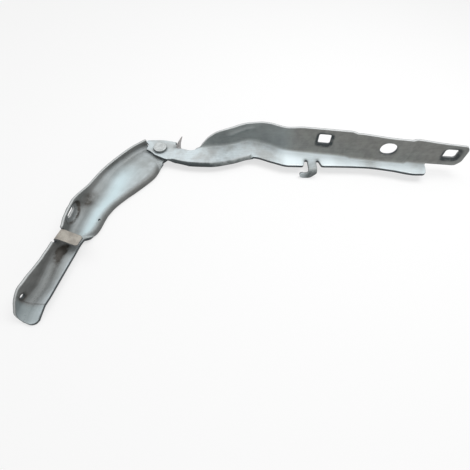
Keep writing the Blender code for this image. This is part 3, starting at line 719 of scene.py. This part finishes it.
bracket = dict(
    # foot of the wall (x, y), right edge (x, y), wall height, bend radius
    stations=[(12, 33, 36, 6, 9, 3), (-11, 12.2, 12, -11, 9, 3), (-27.4, -1.1, 2.6, -20, 8.6, 3.5),
              (-41.3, -17.1, -2.7, -33.6, 7.8, 5), (-53.7, -36.2, -17.7, -52.7, 7.6, 7),
              (-61.1, -54.4, -28.6, -64.4, 8.4, 9), (-65.9, -72.6, -38.1, -76.9, 13.6, 9),
              (-67.4, -79.6, -40.6, -82, 15.5, 7), (-67.8, -82.6, -42.1, -85.4, 16.2, 6.5),
              (-70, -98.8, -46, -101.4, 15.6, 6), (-70.4, -101.8, -46.9, -103.8, 15.2, 6.1),
              (-70.9, -109, -49.8, -109, 13.4, 6.5), (-72.9, -117, -57, -116.4, 12.2, 7),
              (-77.2, -130.6, -60.8, -131, 10.8, 7), (-79.9, -146.7, -64.6, -147, 13, 7),
              (-81.5, -161.8, -68, -162, 17.6, 7), (-83.6, -168.8, -69.8, -170, 18, 6),
              (-87.3, -178.6, -72.4, -179.2, 15, 6), (-91.9, -196, -76, -197, 8, 6)],
    roll=dict(start=46, full=66, fade=166, end=178, turn=78, radius=4.2, clear=0.6),
    crease=241.0, creaseRun=14.0, roundFrom=234.0, roundTo=254.0, roundShare=0.97,
    eyeRadius=13.6, eyeStart=[(-27.6, 21.4), (-14.2, 6.6)],
    eyeClose=[(3.4, -16), (3.4, -24), (60, -24), (60, 60), (-27.6, 60)],
    lowerEnd=[(-66, -170, 0), (-76.6, -194.4, 7), (-90.4, -189, 8), (-96.5, -174, 0), (-120, -174, 0),
              (-120, -225, 0), (-66, -225, 0)],
    tab=dict(at=180.4, wide=10.8, relief=1.2, foot=8.0, reach=20.4, radius=3.2, corner=2.4, turn=102,
             reliefCorner=0.55, spare=0.35),
    slot=dict(at=152.8, up=8.8, wide=13.0, high=4.8, corner=2.35),
    seat=dict(halfLong=15.0, halfHigh=7.6, lower=0.6, flat=0.66, deep=2.0),
    lowerHole=dict(at=238.5, up=8.2, wide=4.6, high=4.6, corner=2.29),
    gauge=dict(place=(-47.4, -92.8), radius=1.1), bore=4.3,
    rows=42, pitch=1.1,
)
footsteps = [math.dist(a[:2], b[:2]) for a, b in zip(bracket["stations"], bracket["stations"][1:])]
runs = np.concatenate([[0], np.cumsum(footsteps)])
bracketLines = [list(zip(runs, column)) for column in zip(*bracket["stations"])]
rollTurn = math.radians(bracket["roll"]["turn"])
rollDepth = sheet["bracketTop"] - bracket["roll"]["clear"] - sheet["thick"] * math.cos(rollTurn)
rollLength = (bracket["roll"]["radius"] * rollTurn
              + (rollDepth - bracket["roll"]["radius"] * (1 - math.cos(rollTurn))) / math.sin(rollTurn))


def bracketFrame(run):
    footX, footY, edgeX, edgeY, height, radius = (smoothLine(line, run) for line in bracketLines)
    width = np.hypot(edgeX - footX, edgeY - footY)
    across = np.column_stack([(edgeX - footX) / width, (edgeY - footY) / width])
    spent = np.clip((run - bracket["roundFrom"]) / (bracket["roundTo"] - bracket["roundFrom"]), 0, 1)
    height = height * np.sqrt(1 - bracket["roundShare"] * spent ** 2)
    drop = sheet["floorGap"] * np.clip((run - bracket["crease"]) / bracket["creaseRun"], 0, 1)
    foot = np.column_stack([footX, footY])
    return foot, across, width, height, radius, sheet["bracketTop"] - drop


def bracketRoll(run, width, radius):
    roll = bracket["roll"]
    turn = rollTurn * between(run, roll["start"], roll["full"], roll["fade"], roll["end"])
    start = width - bend(rollLength, roll["radius"], turn)[0] - radius
    return start, turn


def bracketTopEdge(run):
    _, _, _, height, radius, _ = bracketFrame(run)
    return -flangeLength(height, radius)


def bracketRightEdge(run):
    _, _, width, _, radius, _ = bracketFrame(run)
    return bracketRoll(run, width, radius)[0] + rollLength


def tabStart():
    radius = float(smoothLine(bracketLines[5], bracket["tab"]["at"]))
    return -float(flangeLength(bracket["tab"]["foot"], radius))


tabFlat = tabStart()


def inTab(run):
    # the columns of the blank that run up into the tab
    return np.abs(run - bracket["tab"]["at"]) < bracket["tab"]["wide"] / 2 + bracket["tab"]["spare"]


def formBracket(run, s):
    run = np.asarray(run, float)
    foot, across, width, height, radius, level = bracketFrame(run)
    rollStart, turn = bracketRoll(run, width, radius)
    up = np.maximum(-s, 0)
    wallOut, rise = bend(up, radius, math.pi / 2)
    under = np.maximum(s - rollStart, 0)
    rollOut, down = bend(under, bracket["roll"]["radius"], turn)
    out = np.where(s < 0, radius - wallOut, np.where(under > 0, radius + rollStart + rollOut, radius + s))
    place = np.column_stack([foot + across * out[:, None], level + rise - down])
    tab = bracket["tab"]
    onTab = ramp(tabFlat - s, 0, 2.5) * inTab(run)
    at = np.array([tab["at"]])
    tabFoot, tabAcross, _, _, _, tabLevel = bracketFrame(at)
    ahead = bracketFrame(at + 2)[0][0] - bracketFrame(at - 2)[0][0]
    ahead /= np.linalg.norm(ahead)
    inward = np.array([-ahead[1], ahead[0]])
    tabOver, tabIn = bend(np.maximum(tabFlat - s, 0), tab["radius"], math.radians(tab["turn"]))
    plan = tabFoot[0] + ahead * (run - tab["at"])[:, None] + inward * tabIn[:, None]
    folded = np.column_stack([plan, tabLevel[0] + tab["foot"] + tabOver])
    return place + (folded - place) * onTab[:, None]


def bracketPlan(flat):
    return formBracket(flat[:, 0], flat[:, 1])[:, :2]


def bracketWallFlat(outline):
    run, up = outline.T
    radius = smoothLine(bracketLines[5], run)
    return np.column_stack([run, -flangeLength(up, radius)])


def bracketHeight(run, s):
    radius = smoothLine(bracketLines[5], run)
    return -s - radius * (math.pi / 2 - 1)


def seatShare(run, s):
    # the oval seat that is dished round the slot
    seat, slot = bracket["seat"], bracket["slot"]
    away = np.hypot((run - slot["at"]) / seat["halfLong"],
                    (bracketHeight(run, s) - slot["up"] + seat["lower"]) / seat["halfHigh"])
    return 1 - ramp(away, seat["flat"], 1.0)


def bracketEmboss(run, s):
    gap = holeGap(run, bracketHeight(run, s), bracket["lowerHole"])
    wave = 0.12 * np.sin(run * 0.55 + s * 0.3) * ramp(run, 188, 200) * ramp(-s, 2, 6)
    return wave - bracket["seat"]["deep"] * seatShare(run, s) - 0.8 * (1 - ramp(gap, 0.3, 2.4))


# where the bracket's tones, painted shade and painted highlights change, in millimetres: spans along it
# first, then distances across it
bracketTones = dict(
    lower=(184, 192), underTab=((192, 8.0), (-3.2, 3.6)), foot=(184, 194, 205, 232),
    brown=((132, 10.0), (-6, 6)), glow=(62, 100, 165, 182), glowTurn=(85, 130), lowEnd=(232, 242),
    pastCrease=(241, 245), shade=(-9, 1), wallRise=(0.2, 5.0), rollRise=(-2.5, 3.5),
    hole=(0.6, 2.4), footLine=(-0.5, 2.4), soil=(-1.5, 2.6), edgeWidth=0.9, slotWidth=0.6,
)


def bracketMarks(run, s, here):
    # the same shares as on the arm, with the tab bare and warm
    tones, height = bracketTones, bracketHeight(run, s)
    _, _, width, _, radius, _ = bracketFrame(run)
    rollStart, turn = bracketRoll(run, width, radius)
    rise = np.where(s < 0, here[:, 2] - sheet["bracketTop"], 0)
    lower = ramp(run, *tones["lower"])
    # painted shade: the wall and a strip of web beside its foot take the darker wall tone
    wall = np.maximum(ramp(rise, *tones["wallRise"]), (0.5 + 0.2 * lower) * ramp(-s, *tones["shade"]))
    # painted shade on the roll that turns down
    roll = ramp(s - rollStart, *tones["rollRise"]) * (turn / rollTurn)
    seat = seatShare(run, s)
    hole = 1 - ramp(holeGap(run, height, bracket["lowerHole"]), *tones["hole"])
    underTab = spot(run, *tones["underTab"][0]) * spot(s, *tones["underTab"][1])
    foot = spot(s, *tones["footLine"]) * between(run, *tones["foot"])
    brown = spot(run, *tones["brown"][0]) * spot(s, *tones["brown"][1])
    # painted shade: a ring round the dished seat, a shadow under the tab, a line along the wall's foot, the
    # lower wall, a darker brown-tinged patch by the wall, the roll and a ring round the lower hole
    dirt = 0.45 * seat + 4.4 * seat * (1 - seat) + 0.1 * wall * lower + 3.2 * underTab + 0.5 * foot
    dirt = dirt + 1.3 * brown + 0.15 * roll + 0.9 * hole
    # painted highlight across the web, and paler towards the lower end
    middle = (0.35 + 0.4 * ramp(run, *tones["glowTurn"])) * rollStart
    glow = 0.66 * spot(s, middle, 0.26 * width) * between(run, *tones["glow"])
    glow = glow * (1 - 0.8 * roll) * (1 - 0.6 * wall)
    lowGlow = 0.4 * spot(s, 0.8 * width, 0.24 * width) * lower * (1 - ramp(run, *tones["lowEnd"]))
    glow = glow + lowGlow + 0.2 * ramp(run, *tones["pastCrease"])
    # painted edge light on the wall's top rim and round the slot as a glint
    topEdge = s - bracketTopEdge(run) < tones["edgeWidth"]
    slotEdge = holeGap(run, height, bracket["slot"]) < tones["slotWidth"]
    onTab = (s < tabFlat - 1.5) & inTab(run)
    # painted light: the seat's floor takes less of the darker wall tone; the tab keeps its warm colour with
    # painted edge light
    return dict(wall=np.where(onTab, 0, np.maximum(wall, roll) - 0.45 * seat * wall),
                warm=np.where(onTab, 1, 0.0), dirt=np.where(onTab, 0.05, dirt),
                glow=np.where(onTab, 0, glow), shine=np.where(onTab, 0.35, topEdge | slotEdge),
                soil=np.where(onTab, 0.5, spot(s, *tones["soil"]) * lower))


# the darker wall tones are painted shade, the highlight colour is a painted highlight, and the edge tones are
# painted edge light and shade; the dark layer colour serves painted shade and real specks
bracketLook = dict(metallic=0.15, webLight=(0.46, 0.505, 0.52), webDark=(0.32, 0.348, 0.35),
                   wallLight=(0.20, 0.205, 0.20), wallDark=(0.13, 0.135, 0.13), crease=bracket["crease"] * mm,
                   warmLight=(0.40, 0.375, 0.33), warmDark=(0.26, 0.24, 0.21),
                   shadeAndGrimeFilm=(0.035, 0.031, 0.025), edgeBright=(0.50, 0.52, 0.52), edgeGrey=(0.16, 0.175, 0.175),
                   edgeDark=(0.05, 0.06, 0.065), paintedHighlight=(0.64, 0.80, 0.85), cloud=36.0, bump=0.12)


def makeBracket():
    tab, gauge = bracket["tab"], bracket["gauge"]
    at, half, gap = tab["at"], tab["wide"] / 2, tab["wide"] / 2 + tab["relief"]
    columns = columnsThrough([0, 160, at - gap, at - half, at + half, at + gap, 200, runs[-1]],
                             bracket["pitch"])
    bm = makeBlank(columns, bracket["rows"],
                   lambda run: bracketTopEdge(run) - 20 * between(run, 160, 169, 189, 198), bracketRightEdge)

    # the tab and the relief cuts at both its sides
    free = tabFlat - tab["radius"] * (math.pi / 2 - 1) - tab["reach"]
    corner = tab["reliefCorner"]
    outline = edgeCorners(bracketTopEdge, 158, at - gap)
    outline += [(at - gap, tabFlat, corner), (at - half, tabFlat, corner), (at - half, free, tab["corner"]),
                (at + half, free, tab["corner"]), (at + half, tabFlat, corner), (at + gap, tabFlat, corner)]
    outline += edgeCorners(bracketTopEdge, at + gap + 0.8, 200)
    trim(bm, rounded(outline + [(200, -90, 0), (158, -90, 0)]))

    # both ends, then the holes
    eye = arcLine(bracket["eyeRadius"], 148, -58, -3)
    trim(bm, np.concatenate([bracket["eyeStart"], eye, bracket["eyeClose"]]), bracketPlan)
    trim(bm, rounded(bracket["lowerEnd"]), bracketPlan)
    for hole in (bracket["slot"], bracket["lowerHole"]):
        trim(bm, bracketWallFlat(oblong(hole) + [hole["at"], hole["up"]]))
    trim(bm, arcLine(bracket["bore"], 0, 360, 9), bracketPlan)
    trim(bm, arcLine(gauge["radius"], 0, 360, 9) + gauge["place"], bracketPlan)
    marks = pressed(bm, formBracket, bracketEmboss, bracketMarks)
    piece = newPiece("bodyBracketPressing", bm, [sheetMaterial("bracketSteel", bracketLook),
                                                 edgeMaterial("bracketEdge", bracketLook)], marks)
    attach(piece, "body_side")
    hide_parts("body_bracket")


makeBracket()
print("body bracket pressed")


# pivot pieces

rivet = dict(tail=7.4, tailHigh=3.4, shank=4.0, head=7.3, headLow=12.1, headTop=14.0, edge=0.55,
             dish=4.9, dishDeep=0.35, dishRim=0.06, waveStep=0.35, waveHigh=0.05, waves=13, steps=96,
             # the side colour is painted shade on the side of the head
             light=(0.52, 0.55, 0.55, 1), dark=(0.38, 0.40, 0.40, 1), side=(0.08, 0.09, 0.09),
             cloud=160.0, pits=520.0)


def rivetProfile():
    # from the middle of the head, over its dish and side, down to the tail
    r, edge = rivet, rivet["edge"]
    floor = r["headTop"] - r["dishDeep"]
    turns = [math.radians(a) for a in range(0, 91, 15)]
    waves = [(k * r["waveStep"], floor + r["waveHigh"] * math.cos(k * r["waveStep"] * 4.2))
             for k in range(r["waves"])]
    head = [(r["dish"], r["headTop"] - r["dishRim"]), (r["dish"] + r["dishDeep"], r["headTop"])]
    side = [(r["head"] - edge + edge * math.sin(a), r["headTop"] - edge + edge * math.cos(a)) for a in turns]
    under = [(r["head"], r["headLow"]), (r["shank"], r["headLow"]), (r["shank"], r["tailHigh"]),
             (r["tail"], r["tailHigh"])]
    foot = [(r["tail"] - edge + edge * math.cos(a), edge - edge * math.sin(a)) for a in turns]
    return waves + head + side + under + foot + [(0, 0)]


def rivetSteel():
    # pitted steel, with painted shade round the side of the head
    material, tree, shader = startMaterial("rivetSteel", 0.4)
    place = add(tree, "TexCoord").outputs["Object"]
    made = useGroup(tree, plate, Vector=place, Light=rivet["light"], Dark=rivet["dark"],
                    Cloud=rivet["cloud"])
    pits = add(tree, "TexVoronoi", Scale=rivet["pits"])
    tree.links.new(place, pits.inputs["Vector"])
    pit = remap(tree, pits.outputs["Distance"], 0.0, 0.5)
    across = add(tree, "VectorMath", operation="MULTIPLY")
    across.inputs[1].default_value = (1, 1, 0)
    tree.links.new(place, across.inputs[0])
    away = add(tree, "VectorMath", operation="LENGTH")
    tree.links.new(across.outputs[0], away.inputs[0])
    # painted shade on the side of the head
    side = remap(tree, away.outputs["Value"], (rivet["head"] - 0.5) * mm, (rivet["head"] - 0.05) * mm,
                 0.0, 0.85)
    colour = mixColour(tree, side, made.outputs["Color"], rivet["side"])
    height = maths(tree, "ADD", maths(tree, "MULTIPLY", pit, 0.5), made.outputs["Height"])
    finishMaterial(tree, shader, colour, made.outputs["Roughness"], height, 0.55)
    return material


def makeRivet():
    bm = bmesh.new()
    points = [bm.verts.new((x * mm, 0, z * mm)) for x, z in rivetProfile()]
    edges = [bm.edges.new(pair) for pair in zip(points, points[1:])]
    bmesh.ops.spin(bm, geom=points + edges, axis=(0, 0, 1), cent=(0, 0, 0), steps=rivet["steps"],
                   angle=2 * math.pi, use_merge=True)
    bmesh.ops.remove_doubles(bm, verts=bm.verts[:], dist=0.005 * mm)
    bmesh.ops.recalc_face_normals(bm, faces=bm.faces[:])
    piece = newPiece("pivotRivet", bm, [rivetSteel()])
    piece.data.set_sharp_from_angle(angle=math.radians(50))
    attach(piece, "body_side")
    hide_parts("pivot_rivet")


def dressNode(name, light, dark, metallic):
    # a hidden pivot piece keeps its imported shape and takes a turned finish
    material = plainSteel(name + "Finish", light, dark, metallic)
    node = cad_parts[name]
    node.data.materials.clear()
    node.data.materials.append(material)


makeRivet()
dressNode("pivot_bush", (0.50, 0.36, 0.18), (0.36, 0.25, 0.12), 0.6)
dressNode("thrust_washer", (0.42, 0.44, 0.44), (0.30, 0.31, 0.31), 0.6)
print("pivot pieces turned")


# spike lanced out of the arm's step

spike = dict(root=(19.4, 2.4), base=6.8, tip=1.1, rise=14.6, sunk=1.2, lean=5.8, turn=-30.0, thick=2.8,
             taper=1.1, curve=1.5, steps=16, round=24)


def makeSpike():
    # round sections, flattened to the sheet's thickness, are drawn up along a leaning curve
    bm = bmesh.new()
    made = bmesh.ops.create_circle(bm, cap_ends=True, segments=spike["round"], radius=0.5)["verts"]
    rows = [made]
    for k in range(spike["steps"]):
        rims = [e for e in bm.edges if all(v in rows[-1] for v in e.verts)]
        grown = bmesh.ops.extrude_edge_only(bm, edges=rims)["geom"]
        rows.append([g for g in grown if isinstance(g, bmesh.types.BMVert)])
    bmesh.ops.contextual_create(bm, geom=[e for e in bm.edges if all(v in rows[-1] for v in e.verts)])
    turn = Matrix.Rotation(math.radians(spike["turn"]), 3, "Z")
    low = sheet["armTop"] - spike["sunk"]
    for k, row in enumerate(rows):
        up = k / spike["steps"]
        wide = spike["base"] + (spike["tip"] - spike["base"]) * (1 - (1 - up) ** spike["taper"])
        deep = min(spike["thick"], wide * 0.9)
        middle = Vector((*spike["root"], low + (spike["rise"] + spike["sunk"]) * up))
        middle.x += spike["lean"] * up ** spike["curve"]
        for v in row:
            v.co = (middle + turn @ Vector((v.co.x * wide, v.co.y * deep, 0))) * mm
    bmesh.ops.recalc_face_normals(bm, faces=bm.faces)
    steel = plainSteel("spikeSteel", (0.62, 0.58, 0.57), (0.42, 0.39, 0.38), 0.15, 0.3)
    piece = newPiece("hoodArmSpike", bm, [steel])
    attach(piece, "hood_side")


makeSpike()
print("spike formed")


# floor, light and camera

stage = dict(size=8.0, floorDiffuse=0.30, floorOwn=0.66, world=0.45, aim=(0.08, -0.05, 0),
             lamps=dict(key=(7.5, 1.6, (-0.5, 0.35, 1.5)), fill=(2.3, 0.4, (0.32, 0.03, 0.6))),
             camera=(0.08152, -0.27519, 0.2557), tilt=33.5, lens=24.89, sensor=36.0)


def seenShare(tree):
    # 1 for what the camera, a reflection or a clear piece sees, 0 for light that falls on the part
    path = add(tree, "LightPath")
    direct = maths(tree, "MAXIMUM", path.outputs["Is Camera Ray"], path.outputs["Is Glossy Ray"])
    return maths(tree, "MAXIMUM", direct, path.outputs["Is Transmission Ray"])


def makeFloor():
    bm = bmesh.new()
    bmesh.ops.create_grid(bm, x_segments=1, y_segments=1, size=stage["size"] / 2)
    material = bpy.data.materials.new("paleFloor")
    material.use_nodes = True
    tree = material.node_tree
    shader = tree.nodes["Principled BSDF"]
    shader.inputs["Base Color"].default_value = (stage["floorDiffuse"],) * 3 + (1,)
    shader.inputs["Roughness"].default_value = 1.0
    shader.inputs["Specular IOR Level"].default_value = 0.0
    glow = add(tree, "Emission")
    tree.links.new(maths(tree, "MULTIPLY", seenShare(tree), stage["floorOwn"]), glow.inputs["Strength"])
    both = add(tree, "AddShader")
    tree.links.new(shader.outputs[0], both.inputs[0])
    tree.links.new(glow.outputs[0], both.inputs[1])
    tree.links.new(both.outputs[0], tree.nodes["Material Output"].inputs["Surface"])
    newPiece("floor", bm, [material])


def makeWorld():
    world = bpy.data.worlds.new("studio")
    bpy.context.scene.world = world
    world.use_nodes = True
    tree = world.node_tree
    sky = tree.nodes["Background"]
    sky.inputs["Color"].default_value = (1, 1, 1, 1)
    level = add(tree, "MapRange")
    level.inputs["To Min"].default_value = stage["world"]
    tree.links.new(seenShare(tree), level.inputs["Value"])
    tree.links.new(level.outputs[0], sky.inputs["Strength"])


def makeLamps():
    for name, (power, size, place) in stage["lamps"].items():
        lamp = bpy.data.lights.new(name, "AREA")
        lamp.shape = "DISK"
        lamp.size = size
        lamp.energy = power
        holder = bpy.data.objects.new(name, lamp)
        holder.location = place
        aim = Vector(stage["aim"]) - holder.location
        holder.rotation_euler = aim.to_track_quat("-Z", "Y").to_euler()
        bpy.context.scene.collection.objects.link(holder)


def makeCamera():
    lens = bpy.data.cameras.new("camera")
    lens.sensor_width = stage["sensor"]
    lens.lens = stage["lens"]
    lens.clip_start = 0.01
    camera = bpy.data.objects.new("camera", lens)
    camera.location = stage["camera"]
    camera.rotation_euler = (math.radians(stage["tilt"]), 0, 0)
    bpy.context.scene.collection.objects.link(camera)
    bpy.context.scene.camera = camera


makeFloor()
makeWorld()
makeLamps()
makeCamera()
bpy.context.scene.view_settings.view_transform = "Standard"
print("floor, light and camera set")
